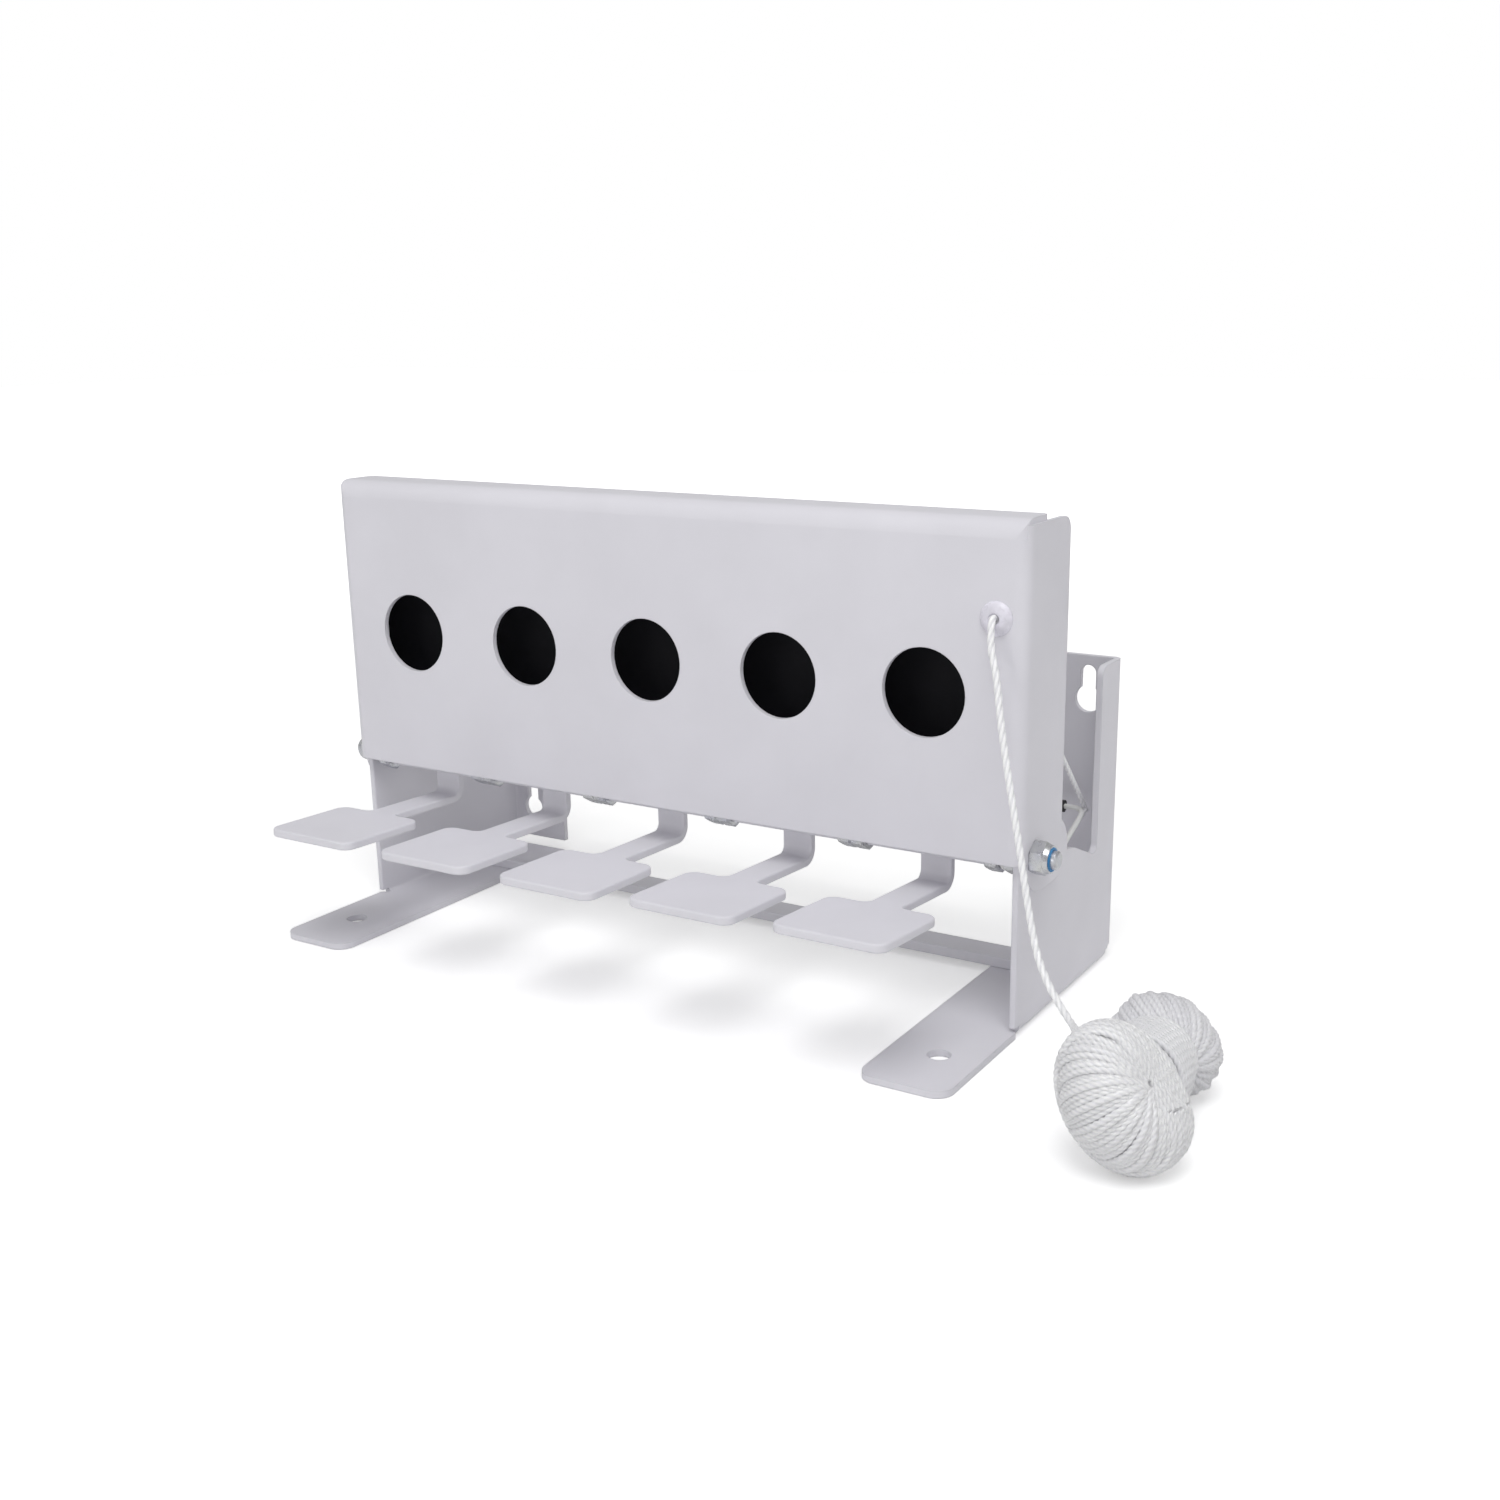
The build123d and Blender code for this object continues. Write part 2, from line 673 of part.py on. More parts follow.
def make_hank():
    """The spare cord: a bundle with two rounded ends, tied at its waist."""
    start = Vector(*hank_front)
    axis = Vector(*hank_back) - start
    length = axis.length
    front_radius = 29.0
    back_radius = 24.5
    waist = (length * 0.54, 16.0)
    lobe_turn = 130.0
    bundle = Plane(origin=start, x_dir=axis, z_dir=(1, 0, 0))
    with BuildPart() as hank:
        with BuildSketch(bundle):
            with BuildLine():
                front = CenterArc((0, 0), front_radius, 180, -lobe_turn)
                back = CenterArc((length, 0), back_radius, 0, lobe_turn)
                ThreePointArc(front @ 1, waist, back @ 1)
                Line((length + back_radius, 0), (-front_radius, 0))
            make_face()
        revolve(axis=Axis(start, axis))
    save(hank, "cord_hank")


make_hood()
make_brackets()
make_bars()
make_rod()
make_spacer_nuts()
make_lock_nuts()
for index, x in enumerate(lever_x):
    make_lever(index + 1, x, radians(paddle_tilts[index]))
make_bail()
make_grommet()
make_cord()
make_hank()
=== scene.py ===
import math
import random

import bpy
import bmesh
from mathutils import Matrix, Vector


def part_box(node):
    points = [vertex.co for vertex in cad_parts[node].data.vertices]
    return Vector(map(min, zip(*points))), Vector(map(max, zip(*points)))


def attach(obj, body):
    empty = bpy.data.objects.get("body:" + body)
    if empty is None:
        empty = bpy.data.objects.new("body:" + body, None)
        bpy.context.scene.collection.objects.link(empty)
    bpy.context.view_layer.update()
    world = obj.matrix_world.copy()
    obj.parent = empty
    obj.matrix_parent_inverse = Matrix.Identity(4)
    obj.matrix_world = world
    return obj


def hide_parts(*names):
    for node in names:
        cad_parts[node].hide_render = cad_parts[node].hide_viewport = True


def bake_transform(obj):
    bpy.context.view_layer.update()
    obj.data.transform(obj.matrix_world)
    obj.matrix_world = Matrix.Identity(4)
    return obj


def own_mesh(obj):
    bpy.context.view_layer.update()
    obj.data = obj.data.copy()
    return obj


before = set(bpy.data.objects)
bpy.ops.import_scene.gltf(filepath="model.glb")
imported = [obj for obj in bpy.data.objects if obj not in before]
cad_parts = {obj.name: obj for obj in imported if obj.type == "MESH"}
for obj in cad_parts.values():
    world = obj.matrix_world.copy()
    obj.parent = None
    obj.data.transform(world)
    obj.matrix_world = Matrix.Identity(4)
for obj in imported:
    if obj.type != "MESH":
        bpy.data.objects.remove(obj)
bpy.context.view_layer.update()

# Looks for a knock-down target box: powder-coated sheet, zinc hardware and a twisted cord.
# Everything is in metres, in the CAD frame: +X right, +Y back, +Z up, the floor at Z = 0.

MM = 0.001
LANES = range(1, 6)
WORLD_FRONT = 0.52
WORLD_BACK = 0.46
FLOOR_GLOW = 0.34


# ---------------------------------------------------------------- places read from the frame
def middle(node):
    low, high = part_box(node)
    return (low + high) / 2


CORD_DIAMETER = 3.0 * MM
PULL_LAY = 15.0 * MM  # one full twist of the free cord
HANK_LAY = 8.4 * MM
INNER_LAY = 12.0 * MM
GROMMET = middle("cord_grommet")
FACE_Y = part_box("hood")[0].y


# ---------------------------------------------------------------- material helpers
class Shader:
    """A node material that is built one node at a time."""

    def __init__(self, name):
        self.material = bpy.data.materials.new(name)
        self.material.use_nodes = True
        self.tree = self.material.node_tree
        self.surface = self.tree.nodes["Principled BSDF"]
        self.place = self.node("ShaderNodeTexCoord").outputs["Object"]

    def node(self, kind, **values):
        made = self.tree.nodes.new(kind)
        for key, value in values.items():
            if key in made.inputs:
                self.feed(made.inputs[key], value)
            else:
                setattr(made, key, value)
        return made

    def feed(self, socket, value):
        if isinstance(value, bpy.types.NodeSocket):
            self.tree.links.new(value, socket)
        else:
            socket.default_value = value

    def set(self, **values):
        for key, value in values.items():
            self.feed(self.surface.inputs[key.replace("_", " ")], value)

    def noise(self, scale, detail=2.0, vector=None):
        made = self.node("ShaderNodeTexNoise", Scale=scale, Detail=detail)
        self.feed(made.inputs["Vector"], vector or self.place)
        return made.outputs["Fac"]

    def ramp(self, value, low, high, to_low=0.0, to_high=1.0):
        made = self.node("ShaderNodeMapRange")
        self.feed(made.inputs["Value"], value)
        for name, number in zip(("From Min", "From Max", "To Min", "To Max"),
                                (low, high, to_low, to_high)):
            made.inputs[name].default_value = number
        return made.outputs["Result"]

    def mix(self, amount, first, second):
        made = self.node("ShaderNodeMix", data_type="RGBA")
        self.feed(made.inputs["Factor"], amount)
        colours = [socket for socket in made.inputs if socket.type == "RGBA"]
        self.feed(colours[0], first)
        self.feed(colours[1], second)
        return [socket for socket in made.outputs if socket.type == "RGBA"][0]

    def rounded(self, radius, samples=6):
        """A normal that rounds sharp edges off by radius."""
        return self.node("ShaderNodeBevel", Radius=radius, samples=samples).outputs["Normal"]

    def edge_mask(self, rounded_normal):
        """1 on an edge that the rounded normal turns away from the flat one, 0 elsewhere."""
        flat = self.node("ShaderNodeNewGeometry").outputs["Normal"]
        dot = self.node("ShaderNodeVectorMath", operation="DOT_PRODUCT")
        self.feed(dot.inputs[0], rounded_normal)
        self.feed(dot.inputs[1], flat)
        return self.ramp(dot.outputs["Value"], 0.99, 0.80)

    def bump(self, height, distance, strength=1.0, normal=None):
        made = self.node("ShaderNodeBump", Strength=strength, Distance=distance)
        self.feed(made.inputs["Height"], height)
        if normal is not None:
            self.feed(made.inputs["Normal"], normal)
        return made.outputs["Normal"]


def rgb(red, green, blue):
    return (red, green, blue, 1.0)


# ---------------------------------------------------------------- materials
def powder_coat(name, colour, worn, roughness, edge=0.7 * MM, shine=0.42):
    """Sprayed and baked powder: fine orange peel, faint clouding, thinner along the edges."""
    shader = Shader(name)
    rounded = shader.rounded(edge)
    edges = shader.edge_mask(rounded)
    cloud = shader.noise(22.0, 3.0)
    base = shader.mix(shader.ramp(cloud, 0.35, 0.65), colour, rgb(*[c * 0.965 for c in colour[:3]]))
    speck = shader.ramp(shader.noise(1900.0, 1.0), 0.70, 0.78, 0.0, 0.12)
    base = shader.mix(speck, base, worn)
    wear = shader.node("ShaderNodeMath", operation="MULTIPLY")
    shader.feed(wear.inputs[0], edges)
    shader.feed(wear.inputs[1], shader.ramp(shader.noise(160.0, 3.0), 0.35, 0.75, 0.10, 0.55))
    shader.set(Base_Color=shader.mix(wear.outputs[0], base, worn))
    shader.set(Roughness=shader.ramp(shader.noise(60.0, 2.0), 0.3, 0.7, roughness - 0.04, roughness + 0.05))
    peel = shader.bump(shader.noise(1100.0, 1.5), 0.035 * MM, 0.55, rounded)
    shader.set(Normal=shader.bump(shader.noise(140.0, 1.0), 0.05 * MM, 0.35, peel))
    shader.set(Specular_IOR_Level=shine)
    return shader.material


def zinc_plate():
    """Bright zinc plate with fine turning marks and a faint yellow-blue passivation."""
    shader = Shader("zinc_steel")
    rounded = shader.rounded(0.35 * MM)
    tint = shader.ramp(shader.noise(120.0, 2.0), 0.35, 0.65)
    base = shader.mix(tint, rgb(0.66, 0.67, 0.66), rgb(0.60, 0.61, 0.66))
    grime = shader.ramp(shader.noise(420.0, 4.0), 0.62, 0.80, 0.0, 0.5)
    shader.set(Base_Color=shader.mix(grime, base, rgb(0.34, 0.34, 0.33)), Metallic=1.0)
    shader.set(Roughness=shader.ramp(shader.noise(300.0, 3.0), 0.3, 0.7, 0.20, 0.38))
    stretched = shader.node("ShaderNodeMapping")
    shader.feed(stretched.inputs["Vector"], shader.place)
    stretched.inputs["Scale"].default_value = (9000.0, 900.0, 900.0)
    marks = shader.noise(1.0, 2.0, stretched.outputs["Vector"])
    shader.set(Normal=shader.bump(marks, 0.02 * MM, 0.5, rounded))
    return shader.material


def moulded(name, colour, roughness, grain, depth=0.02 * MM):
    """Moulded plastic or rubber with a fine surface grain."""
    shader = Shader(name)
    rounded = shader.rounded(0.3 * MM)
    dark = rgb(*[c * 0.85 for c in colour[:3]])
    shader.set(Base_Color=shader.mix(shader.ramp(shader.noise(200.0, 3.0), 0.4, 0.7), colour, dark))
    shader.set(Roughness=shader.ramp(shader.noise(700.0, 2.0), 0.3, 0.7, roughness - 0.06, roughness + 0.06))
    shader.set(Normal=shader.bump(shader.noise(grain, 2.0), depth, 0.5, rounded))
    return shader.material


def cord_fibre():
    """Glossy synthetic filament: fine lines run along each strand. The grooves between the strands get
    painted shade, so the crowns look brighter, and a low tone gives a darker bluish painted shade.
    """
    shader = Shader("white_cord")
    along = shader.node("ShaderNodeUVMap").outputs["UV"]
    stretched = shader.node("ShaderNodeMapping")
    shader.feed(stretched.inputs["Vector"], along)
    stretched.inputs["Scale"].default_value = (46.0, 1.2, 1.0)
    lines = shader.noise(1.0, 3.0, stretched.outputs["Vector"])
    # painted shade: the crown value is 1 on a strand's crown and 0 in the groove, and the grooves get a
    # darker colour
    groove = shader.node("ShaderNodeAttribute", attribute_name="crown_lit").outputs["Fac"]
    tone_and_shade = shader.node("ShaderNodeAttribute", attribute_name="tone_and_shade").outputs["Fac"]
    bright = shader.mix(shader.ramp(lines, 0.3, 0.7), rgb(0.95, 0.95, 0.96), rgb(1.0, 1.0, 1.0))
    # painted shade: a low tone value gives a darker bluish colour; the value mixes random strand-to-strand
    # tone with painted shade for strands in shade
    bright = shader.mix(tone_and_shade, rgb(0.78, 0.775, 0.81), bright)
    shader.set(Base_Color=shader.mix(groove, rgb(0.80, 0.80, 0.83), bright))
    shader.set(Roughness=shader.ramp(lines, 0.3, 0.7, 0.20, 0.36), Specular_IOR_Level=0.8)
    shader.set(Subsurface_Weight=0.12, Subsurface_Radius=(1.0, 1.0, 1.0), Subsurface_Scale=0.8 * MM)
    shader.set(Sheen_Weight=0.3)
    shader.set(Normal=shader.bump(lines, 0.05 * MM, 0.7))
    return shader.material


WHITE = powder_coat("white_coat", rgb(0.745, 0.735, 0.785), rgb(0.62, 0.62, 0.64), 0.40)
BLACK = powder_coat("black_coat", rgb(0.006, 0.006, 0.008), rgb(0.05, 0.05, 0.05), 0.62, shine=0.12)
WIRE = powder_coat("bail_coat", rgb(0.80, 0.80, 0.79), rgb(0.60, 0.60, 0.58), 0.34, 0.2 * MM)
ZINC = zinc_plate()
NYLON = moulded("blue_nylon", rgb(0.045, 0.24, 0.52), 0.42, 900.0)
RUBBER = moulded("black_rubber", rgb(0.014, 0.014, 0.015), 0.62, 1500.0, 0.05 * MM)
PLASTIC = moulded("white_plastic", rgb(0.80, 0.78, 0.86), 0.30, 600.0)
CORD = cord_fibre()


# ---------------------------------------------------------------- CAD nodes that stay
def dress(node, material):
    """Give a CAD node its material."""
    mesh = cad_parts[node].data
    mesh.materials.clear()
    mesh.materials.append(material)


def dress_cad():
    for node in ("hood", "left_bracket", "right_bracket", "cross_bar", "stop_bar"):
        dress(node, WHITE)
    for lane in LANES:
        dress(f"hub_{lane}", WHITE)
        dress(f"paddle_{lane}", WHITE)
        dress(f"target_plate_{lane}", BLACK)
    for node in ("hinge_rod", "spacer_nuts", "left_lock_nut", "right_lock_nut"):
        dress(node, ZINC)
    for node in ("left_nut_ring", "right_nut_ring"):
        dress(node, NYLON)
    dress("reset_bail", WIRE)
    dress("bail_sleeve", RUBBER)
    dress("cord_grommet", PLASTIC)


# ---------------------------------------------------------------- cord geometry
def smooth_path(points, step):
    """Points every step along a Catmull-Rom curve through the given points."""
    dense = []
    padded = [points[0] * 2 - points[1]] + points + [points[-1] * 2 - points[-2]]
    for a, b, c, d in zip(padded, padded[1:], padded[2:], padded[3:]):
        parts = max(2, int((c - b).length / step * 2))
        for part in range(parts):
            t = part / parts
            dense.append(0.5 * (2 * b + (c - a) * t + (2 * a - 5 * b + 4 * c - d) * t * t
                                + (3 * b - a - 3 * c + d) * t ** 3))
    dense.append(points[-1].copy())
    even = [dense[0]]
    carried = 0.0
    for start, end in zip(dense, dense[1:]):
        length = (end - start).length
        while length > 1e-9 and carried + length >= step:
            start = start.lerp(end, (step - carried) / length)
            even.append(start.copy())
            length = (end - start).length
            carried = 0.0
        carried += length
    return even


def float_layer(mesh, name):
    return mesh.verts.layers.float.get(name) or mesh.verts.layers.float.new(name)


def add_cord(mesh, path, radius, lay, sides=12, strands=3, groove=0.70, tone_and_shade=1.0):
    """Add one twisted cord to a bmesh: a ring of lobes, one per strand, turned along the path."""
    uv = mesh.loops.layers.uv.verify()
    crown_lit = float_layer(mesh, "crown_lit")
    shade = float_layer(mesh, "tone_and_shade")
    tangent = (path[1] - path[0]).normalized()
    side = tangent.orthogonal().normalized()
    rings = []
    travelled = 0.0
    for index, point in enumerate(path):
        before = path[max(index - 1, 0)]
        after = path[min(index + 1, len(path) - 1)]
        travelled += (point - before).length
        direction = after - before
        if direction.length > 1e-9:
            turn = tangent.rotation_difference(direction.normalized())
            side = (turn @ side).normalized()
            tangent = direction.normalized()
        across = tangent.cross(side)
        twist = travelled / lay * 2 * math.pi
        ring = []
        for corner in range(sides):
            angle = corner / sides * 2 * math.pi
            lobe = abs(math.cos(angle * strands / 2))
            reach = radius * (groove + (1 - groove) * lobe ** 0.7)
            spot = angle + twist
            vertex = mesh.verts.new(point + (side * math.cos(spot) + across * math.sin(spot)) * reach)
            # the crown value, 1 on a strand's crown and 0 in the groove, drives the painted shade in the
            # grooves
            vertex[crown_lit] = lobe
            # the tone value carries random strand tone and painted shade
            vertex[shade] = tone_and_shade
            ring.append(vertex)
        rings.append((ring, travelled))
    for (near, start), (far, end) in zip(rings, rings[1:]):
        for corner in range(sides):
            following = (corner + 1) % sides
            face = mesh.faces.new((near[corner], near[following], far[following], far[corner]))
            face.smooth = True
            for loop, (u, v) in zip(face.loops, ((corner, start), (corner + 1, start),
                                                 (corner + 1, end), (corner, end))):
                loop[uv].uv = (u / sides, v / CORD_DIAMETER)
    for (ring, _), order in ((rings[0], -1), (rings[-1], 1)):
        mesh.faces.new(ring[::order])


def finish_piece(name, mesh, material):
    """Turn a bmesh into a named object with one material."""
    data = bpy.data.meshes.new(name)
    mesh.to_mesh(data)
    mesh.free()
    data.materials.append(material)
    piece = bpy.data.objects.new(name, data)
    bpy.context.scene.collection.objects.link(piece)
    return piece


# ---------------------------------------------------------------- hank
class Lobe:
    """One rounded end of the hank: strands run over it from a dimple (the pole) to its far side."""

    def __init__(self, centre, wide, tall, pole, dent, strands):
        self.centre = Vector(centre) * MM
        self.wide = wide * MM
        self.tall = tall * MM
        self.pole = Vector(pole).normalized()
        self.dent = dent
        self.strands = strands

    def spot(self, direction, swell):
        """Where a direction from the centre meets the surface, scaled by swell."""
        near = math.exp(-(direction.angle(self.pole) / DENT_ANGLE) ** 2)
        bulge = math.exp(-(direction.angle(SAG) / SAG_ANGLE) ** 2)
        size = swell * (1 - self.dent * near + SAG_SHARE * self.dent * bulge)
        spot = Vector((direction.x * self.wide, direction.y * self.wide, direction.z * self.tall)) * size
        return self.centre + spot - LEAN * spot.z


DENT_ANGLE = math.radians(34)
SAG_ANGLE = math.radians(32)
SAG_SHARE = 0.37  # height of the sagging bulge, as a share of the dimple's depth
SAG = Vector((0.82, 0.34, -0.46))
LEAN = Vector((0.18, 0.10, 0.0))
FRONT_LOBE = Lobe((259.6, -48.8, 28.3), 21.0, 26.2, (0.84, -0.27, 0.50), 0.27, 76)
BACK_LOBE = Lobe((253.5, 17.0, 21.2), 19.5, 18.8, (0.60, -0.80, -0.07), 0.06, 58)
BUNDLE = (BACK_LOBE.centre - FRONT_LOBE.centre).normalized()
TURN_POINTS = 12  # along one turn of the waist, and along half a turn of the shoulder
MERIDIAN_POINTS = 14
MERIDIAN_START = math.radians(4)
MERIDIAN_STEP = math.radians(12.7)
UNEVEN = math.radians(2)
SHOULDER_TURNS = 9
SHOULDER_START = math.radians(64)
SHOULDER_STEP = math.radians(5.6)
NECK_RADIUS = 15.0 * MM
NECK_REACH = 34.0 * MM


def across(axis):
    """Two directions at right angles to an axis."""
    level = axis.cross(Vector((0, 0, 1))).normalized()
    return level, level.cross(axis)


def meridian(lobe, turn, swell, rng):
    """One strand over a lobe, from inside its dimple to the far side."""
    level, upright = across(lobe.pole)
    sway = rng.uniform(-0.02, 0.02)
    points = []
    for step in range(MERIDIAN_POINTS):
        away = MERIDIAN_START + MERIDIAN_STEP * step
        angle = turn + sway * math.sin(2 * away)
        side = level * math.cos(angle) + upright * math.sin(angle)
        direction = lobe.pole * math.cos(away) + side * math.sin(away)
        points.append(lobe.spot(direction, swell))
    return points


def shoulder_turn(lobe, axis, away, swell, rng):
    """One turn of the cord round a lobe, at a fixed angle from the axis, a little uneven."""
    level, upright = across(axis)
    phase = rng.uniform(0, 2 * math.pi)
    points = []
    for step in range(2 * TURN_POINTS + 1):
        angle = step / TURN_POINTS * math.pi
        tilt = away + UNEVEN * math.sin(angle + phase)
        side = level * math.cos(angle) + upright * math.sin(angle)
        points.append(lobe.spot(axis * math.cos(tilt) + side * math.sin(tilt), swell))
    return points


def waist_turns(turns, radius, start, end):
    """The turns that tie the bundle between its lobes, as one helix."""
    level, upright = across(BUNDLE)
    points = []
    for step in range(turns * TURN_POINTS + 1):
        share = step / (turns * TURN_POINTS)
        angle = step / TURN_POINTS * 2 * math.pi
        spot = FRONT_LOBE.centre.lerp(BACK_LOBE.centre, start + (end - start) * share)
        points.append(spot + (level * math.cos(angle) + upright * math.sin(angle)) * radius)
    return points


def hank_strands():
    """The strands of each part of the hank, with their brightness: painted shade gives the back lobe, which
    lies in shade, a low value and the waist a middle one.
    """
    rng = random.Random(11)
    groups = []
    # painted shade: the back lobe lies in shade and gets a low brightness, the front lobe a high one
    for lobe, shade in ((FRONT_LOBE, 0.8), (BACK_LOBE, 0.25)):
        meridians = []
        for number in range(lobe.strands):
            turn = number / lobe.strands * 2 * math.pi
            rise = 0.028 * math.sin(number * 1.9) + 0.020 * math.sin(number * 0.7)
            meridians.append(meridian(lobe, turn, 1 + rise, rng))
        groups.append((shade, meridians))
    shoulder = []
    for number in range(SHOULDER_TURNS):
        away = SHOULDER_START + SHOULDER_STEP * number
        swell = 1.035 + rng.uniform(-0.01, 0.015)
        shoulder.append(shoulder_turn(FRONT_LOBE, BUNDLE, away, swell, rng))
    groups.append((0.8, shoulder))
    waist = [waist_turns(12, 15.2 * MM, 0.28, 0.76), waist_turns(6, 17.4 * MM, 0.30, 0.52)]
    groups.append((0.5, waist))
    return groups


def make_hank():
    step = 0.8 * MM
    rng = random.Random(5)
    mesh = bmesh.new()
    for shade, strands in hank_strands():
        for strand in strands:
            # each strand's tone is its part's value, which is painted shade, plus a random strand-to-strand
            # spread
            add_cord(mesh, smooth_path(strand, step), CORD_DIAMETER / 2, HANK_LAY, groove=0.74,
                     tone_and_shade=shade + rng.uniform(-0.2, 0.2))
    hank = finish_piece("hank_cord", mesh, CORD)
    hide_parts("cord_hank")
    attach(hank, "cord")

    # the buried turns, so that no light shows through the bundle
    core = bmesh.new()
    crown_lit = float_layer(core, "crown_lit")
    shade = float_layer(core, "tone_and_shade")
    for lobe in (FRONT_LOBE, BACK_LOBE):
        ball = bmesh.ops.create_icosphere(core, subdivisions=4, radius=1.0)
        for vertex in ball["verts"]:
            vertex.co = lobe.spot(vertex.co.normalized(), 0.995)
    neck = FRONT_LOBE.centre.lerp(BACK_LOBE.centre, 0.5)
    filler = bmesh.ops.create_icosphere(core, subdivisions=4, radius=1.0)
    for vertex in filler["verts"]:
        along = BUNDLE * vertex.co.dot(BUNDLE)
        vertex.co = neck + along * NECK_REACH + (vertex.co - along) * NECK_RADIUS
    # the buried core gets middle crown and tone values, so it carries the same middle painted shade as the
    # strands
    for vertex in core.verts:
        vertex[crown_lit] = 0.6
        vertex[shade] = 0.6
    for face in core.faces:
        face.smooth = True
    inner = finish_piece("hank_core", core, CORD)
    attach(inner, "cord")


# ---------------------------------------------------------------- hanging cord
def make_pull_cord():
    """The free cord: out of the grommet, down past the paddles and on to the hank."""
    outlet = Vector((GROMMET.x, FACE_Y - 4.0 * MM, GROMMET.z))
    points = [outlet + Vector((0, 9.0 * MM, 0)), outlet + Vector((0, 4.0 * MM, 0)), outlet]
    drops = ((1.4, -3.4, 10.0), (5.4, -6.6, 22.0), (11.0, -12.0, 44.0), (22.2, -21.6, 78.6),
             (34.7, -32.5, 115.0), (44.5, -41.2, 128.5), (59.5, -54.0, 137.0))
    for right, forward, down in drops:
        points.append(outlet + Vector((right, forward, -down)) * MM)
    # the last stretch lies on the hank's front lobe
    over_hank = ((-0.55, 0.05, 0.83), (-0.20, 0.30, 0.93), (0.15, 0.45, 0.88), (0.4, 0.6, 0.69))
    for direction in over_hank:
        points.append(FRONT_LOBE.spot(Vector(direction).normalized(), 1.04))
    mesh = bmesh.new()
    add_cord(mesh, smooth_path(points, 0.45 * MM), CORD_DIAMETER / 2, PULL_LAY, sides=18)
    cord = finish_piece("hanging_cord", mesh, CORD)
    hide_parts("pull_cord")
    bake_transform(cord)


def make_inner_cord():
    """The cord behind the panel, from the grommet down to the bail's corner and round its wire."""
    low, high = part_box("inner_cord")
    bar = middle("bail_sleeve")
    top = Vector((high.x - 0.8 * MM, low.y, high.z))
    end = Vector((high.x - 1.4 * MM, bar.y + 0.6 * MM, bar.z + 2.5 * MM))
    points = [top + Vector((0, -6.0 * MM, 2.0 * MM)), top, top.lerp(end, 0.5), end]
    for behind, below in ((2.5, 0.2), (0.6, 2.5), (-1.9, 1.6)):
        points.append(Vector((end.x, bar.y + behind * MM, bar.z - below * MM)))
    mesh = bmesh.new()
    add_cord(mesh, smooth_path(points, 0.4 * MM), CORD_DIAMETER * 0.40, INNER_LAY, groove=0.86)
    cord = finish_piece("inner_pull_cord", mesh, CORD)
    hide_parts("inner_cord")
    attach(cord, "stand")
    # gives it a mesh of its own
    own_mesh(cord)


# ---------------------------------------------------------------- floor, light and camera
def make_stage():
    mesh = bmesh.new()
    half = 6.0
    depth = 0.2 * MM  # the paper lies just under the feet
    corners = [mesh.verts.new(Vector((x * half, y * half, -depth))) for x, y in
               ((-1, -1), (1, -1), (1, 1), (-1, 1))]
    mesh.faces.new(corners)
    data = bpy.data.meshes.new("floor")
    mesh.to_mesh(data)
    mesh.free()
    floor = bpy.data.objects.new("floor", data)
    bpy.context.scene.collection.objects.link(floor)
    shader = Shader("floor_paper")
    grain = shader.ramp(shader.noise(30.0, 3.0), 0.3, 0.7)
    shader.set(Base_Color=shader.mix(grain, rgb(0.92, 0.92, 0.92), rgb(0.94, 0.94, 0.94)), Roughness=0.9)
    # to the camera the paper brightens, and away from the box it fades into the white backdrop
    away = shader.node("ShaderNodeVectorMath", operation="LENGTH")
    shader.feed(away.inputs[0], shader.place)
    glow = shader.ramp(away.outputs["Value"], 0.35, 2.2, FLOOR_GLOW, 1.0)
    seen = shader.node("ShaderNodeLightPath").outputs["Is Camera Ray"]
    both = shader.node("ShaderNodeMath", operation="MULTIPLY")
    shader.feed(both.inputs[0], glow)
    shader.feed(both.inputs[1], seen)
    shader.set(Emission_Color=rgb(1.0, 1.0, 1.0), Emission_Strength=both.outputs[0])
    data.materials.append(shader.material)


def add_area(name, place, target, size, power):
    light = bpy.data.lights.new(name, "AREA")
    light.shape = "DISK"
    light.size = size
    light.energy = power
    lamp = bpy.data.objects.new(name, light)
    lamp.location = place
    lamp.rotation_mode = "QUATERNION"
    lamp.rotation_quaternion = (Vector(target) - Vector(place)).to_track_quat("-Z", "Y")
    bpy.context.scene.collection.objects.link(lamp)


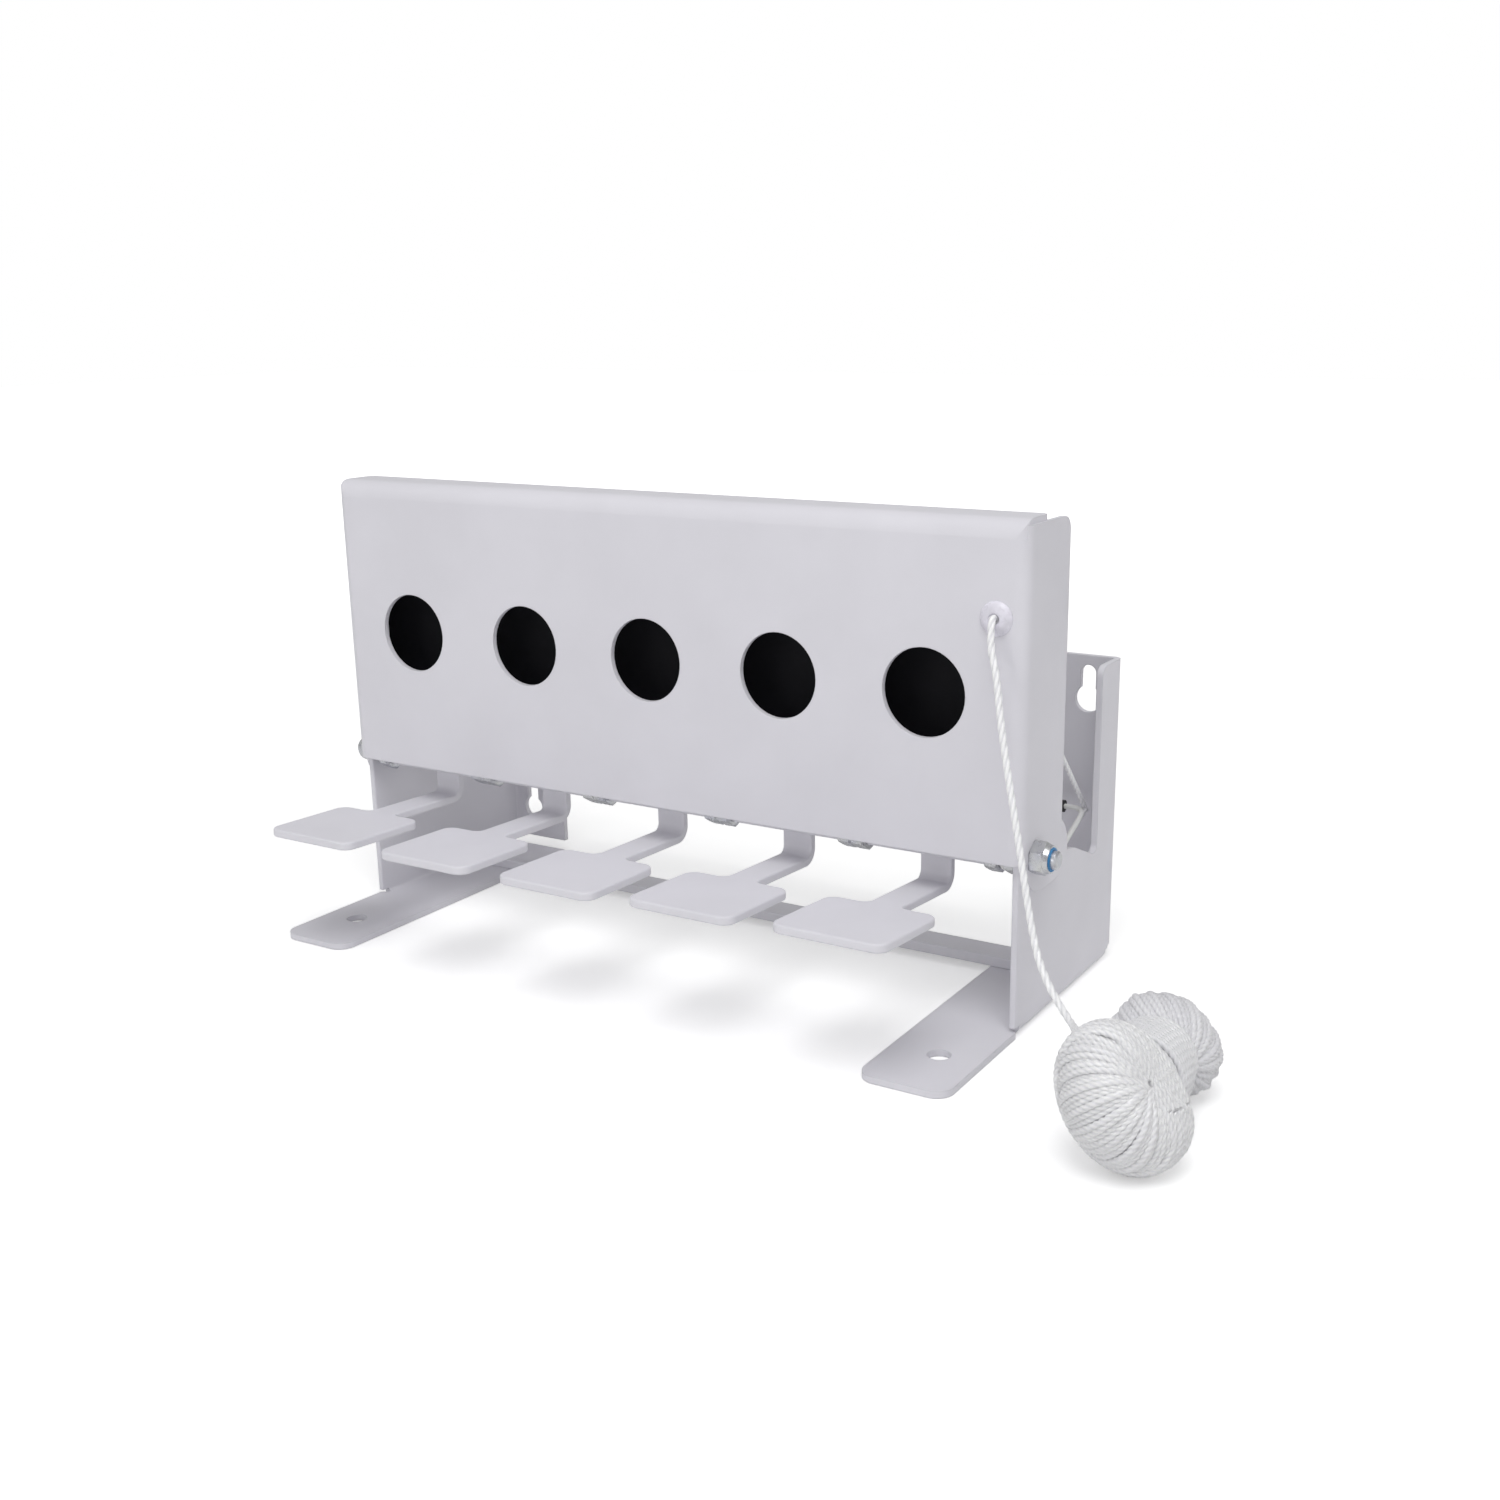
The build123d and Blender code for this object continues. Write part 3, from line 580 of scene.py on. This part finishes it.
def make_light():
    """White surroundings, brighter in front than behind, with a soft key from the front left."""
    world = bpy.data.worlds.new("studio")
    bpy.context.scene.world = world
    world.use_nodes = True
    tree = world.node_tree
    links = tree.links
    background = tree.nodes["Background"]
    background.inputs["Color"].default_value = rgb(1.0, 1.0, 1.0)
    place = tree.nodes.new("ShaderNodeTexCoord")
    split = tree.nodes.new("ShaderNodeSeparateXYZ")
    links.new(place.outputs["Generated"], split.inputs["Vector"])
    depth = tree.nodes.new("ShaderNodeMapRange")
    links.new(split.outputs["Y"], depth.inputs["Value"])
    depth.inputs["From Min"].default_value = -0.6
    depth.inputs["From Max"].default_value = 0.6
    depth.inputs["To Min"].default_value = WORLD_FRONT
    depth.inputs["To Max"].default_value = WORLD_BACK
    seen = tree.nodes.new("ShaderNodeLightPath")
    strength = tree.nodes.new("ShaderNodeMix")
    links.new(seen.outputs["Is Camera Ray"], strength.inputs["Factor"])
    links.new(depth.outputs["Result"], strength.inputs["A"])
    strength.inputs["B"].default_value = 1.0
    links.new(strength.outputs["Result"], background.inputs["Strength"])
    target = (0.0, 0.05, 0.1)
    add_area("key", (-0.55, -1.9, 0.55), target, 0.7, 3.0)
    add_area("top", (0.5, -0.7, 1.9), target, 1.2, 17.0)
    add_area("right", (2.0, -0.5, 0.7), target, 1.2, 1.6)
    bpy.context.scene.view_settings.view_transform = "Standard"


def make_camera():
    """The photograph's view: from the right, a little above, with a slightly shifted frame."""
    data = bpy.data.cameras.new("camera")
    data.sensor_width = 36.0
    data.lens = 40.6
    data.shift_x = -0.0315
    data.shift_y = 0.0161
    data.clip_start = 0.01
    data.clip_end = 50.0
    camera = bpy.data.objects.new("camera", data)
    turn = Matrix.Rotation(math.radians(31.07), 4, "Z")
    tilt = Matrix.Rotation(math.radians(90 - 15.58), 4, "X")
    roll = Matrix.Rotation(math.radians(-0.67), 4, "Z")
    camera.matrix_world = Matrix.Translation((0.4445, -0.5759, 0.3012)) @ turn @ tilt @ roll
    bpy.context.scene.collection.objects.link(camera)
    bpy.context.scene.camera = camera


dress_cad()
make_hank()
make_pull_cord()
make_inner_cord()
make_stage()
make_light()
make_camera()
